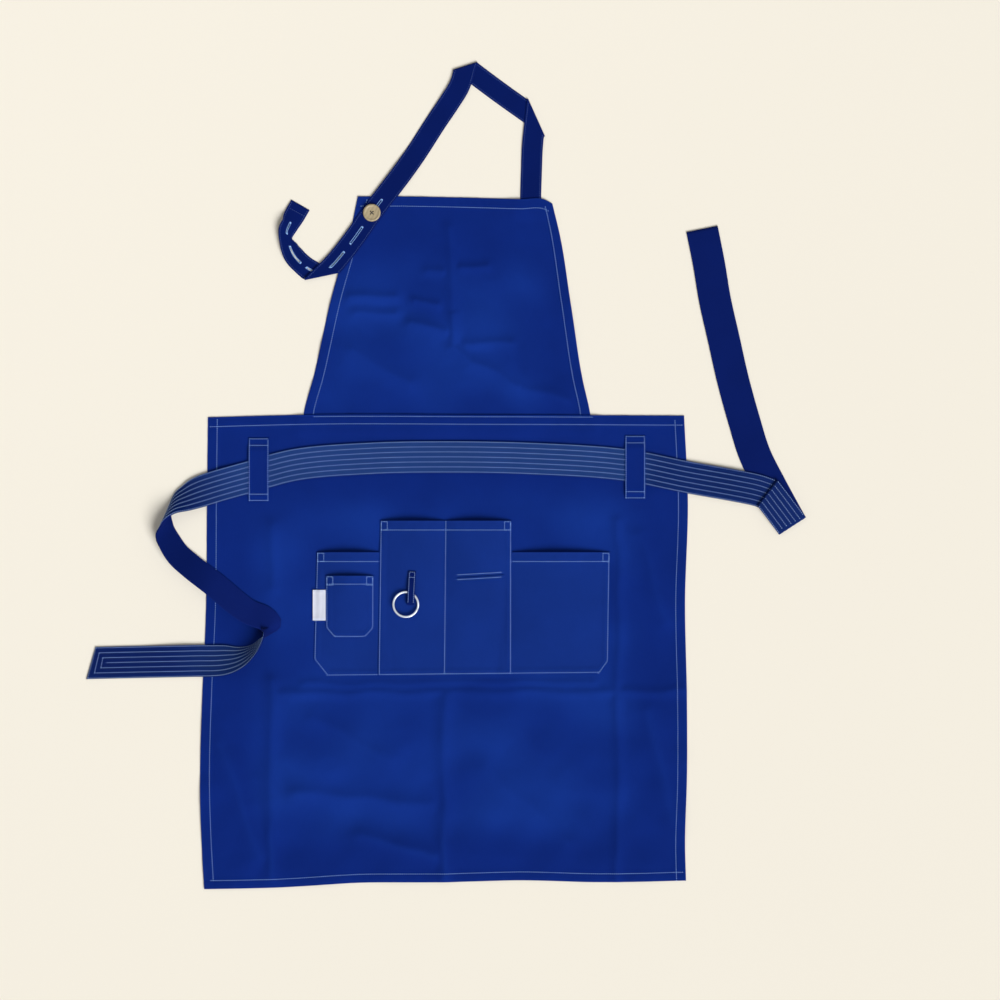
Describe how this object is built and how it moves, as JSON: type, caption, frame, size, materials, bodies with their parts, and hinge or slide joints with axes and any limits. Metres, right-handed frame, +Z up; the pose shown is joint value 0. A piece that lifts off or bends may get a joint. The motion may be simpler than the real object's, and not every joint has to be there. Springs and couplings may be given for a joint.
{
  "type": "artist apron",
  "caption": "Bib apron of blue canvas laid flat, with a long stitched waist belt in loops, a buttoned neck strap, layered tool pockets and a key ring on a tape loop",
  "frame": {"origin": "middle of the apron's box, on the ground under its back", "axes": "+X to the right as the front is seen from above, +Y from the hem towards the bib, +Z up off the ground"},
  "size_m": [1.1472, 1.3184, 0.0323],
  "materials": {
    "canvas": "matt royal blue cotton canvas with pale stitching",
    "strap_canvas": "matt dark blue canvas, folded double and edge stitched",
    "belt_canvas": "matt blue canvas with rows of pale stitching on its front",
    "thread": "dark sewing thread",
    "stitching": "pale blue-white sewing thread in the seams",
    "button_wood": "satin pale wood",
    "ring_steel": "bright plated steel wire",
    "label_cloth": "white woven tape, blank"
  },
  "bodies": {
    "root": {"bib": "canvas", "skirt": "canvas", "side_pocket_left": "canvas", "side_pocket_right": "canvas", "centre_pocket": "canvas", "patch_pocket": "canvas", "belt_loop_left": "canvas", "belt_loop_right": "canvas", "key_loop": "strap_canvas", "neck_strap": "strap_canvas", "belt": "belt_canvas", "button_thread": "thread", "neck_button": "button_wood", "key_ring": "ring_steel", "label_tag": "label_cloth"}
  },
  "joints": []
}
